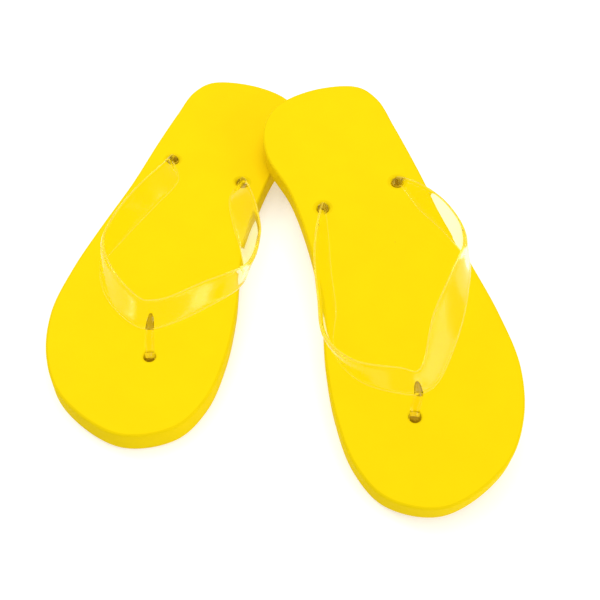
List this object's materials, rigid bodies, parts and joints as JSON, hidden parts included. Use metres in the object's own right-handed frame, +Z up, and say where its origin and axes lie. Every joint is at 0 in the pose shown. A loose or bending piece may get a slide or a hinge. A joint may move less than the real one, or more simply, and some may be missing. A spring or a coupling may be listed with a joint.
{
  "type": "flip flops",
  "caption": "Pair of flat foam flip flops with clear moulded thong straps, the left shoe resting its heel on the right one; the soles bend at the ball of the foot.",
  "frame": {"origin": "on the floor, at the middle of the pair's bounding box", "axes": "+Z up; -Y towards the right shoe's toes; +X towards the wearer's left shoe"},
  "size_m": [0.2388, 0.27, 0.0558],
  "materials": {
    "sole_foam": "matte closed-cell foam, yellow",
    "strap_vinyl": "clear glossy soft vinyl, faintly yellow"
  },
  "bodies": {
    "right_heel": {"right_sole_heel_part": "sole_foam", "right_strap_outer_arm": "strap_vinyl", "right_strap_inner_arm": "strap_vinyl", "right_outer_plug": "strap_vinyl", "right_inner_plug": "strap_vinyl"},
    "right_toe": {"right_sole_toe_part": "sole_foam", "right_strap_toe_post": "strap_vinyl"},
    "left_heel": {"left_sole_heel_part": "sole_foam", "left_strap_outer_arm": "strap_vinyl", "left_strap_inner_arm": "strap_vinyl", "left_outer_plug": "strap_vinyl", "left_inner_plug": "strap_vinyl"},
    "left_toe": {"left_sole_toe_part": "sole_foam", "left_strap_toe_post": "strap_vinyl"}
  },
  "joints": [
    {"name": "right_sole_flex", "type": "hinge", "parent": "right_heel", "child": "right_toe", "pos_m": [-0.0713, -0.052, 0.013], "axis": [-1, 0, 0], "range_deg": [0, 45], "stiffness_Nm_per_rad": 1.5, "deforming": ["right_strap_outer_arm", "right_strap_inner_arm"]},
    {"name": "left_shoe_lift", "type": "slide", "parent": "right_heel", "child": "left_heel", "axis": [0, 0, 1], "range_m": [0, 0.12]},
    {"name": "left_sole_flex", "type": "hinge", "parent": "left_heel", "child": "left_toe", "pos_m": [0.06037, -0.05103, 0.02331], "axis": [-0.8687, -0.4695, -0.1578], "range_deg": [0, 45], "stiffness_Nm_per_rad": 1.5, "deforming": ["left_strap_outer_arm", "left_strap_inner_arm"]}
  ]
}
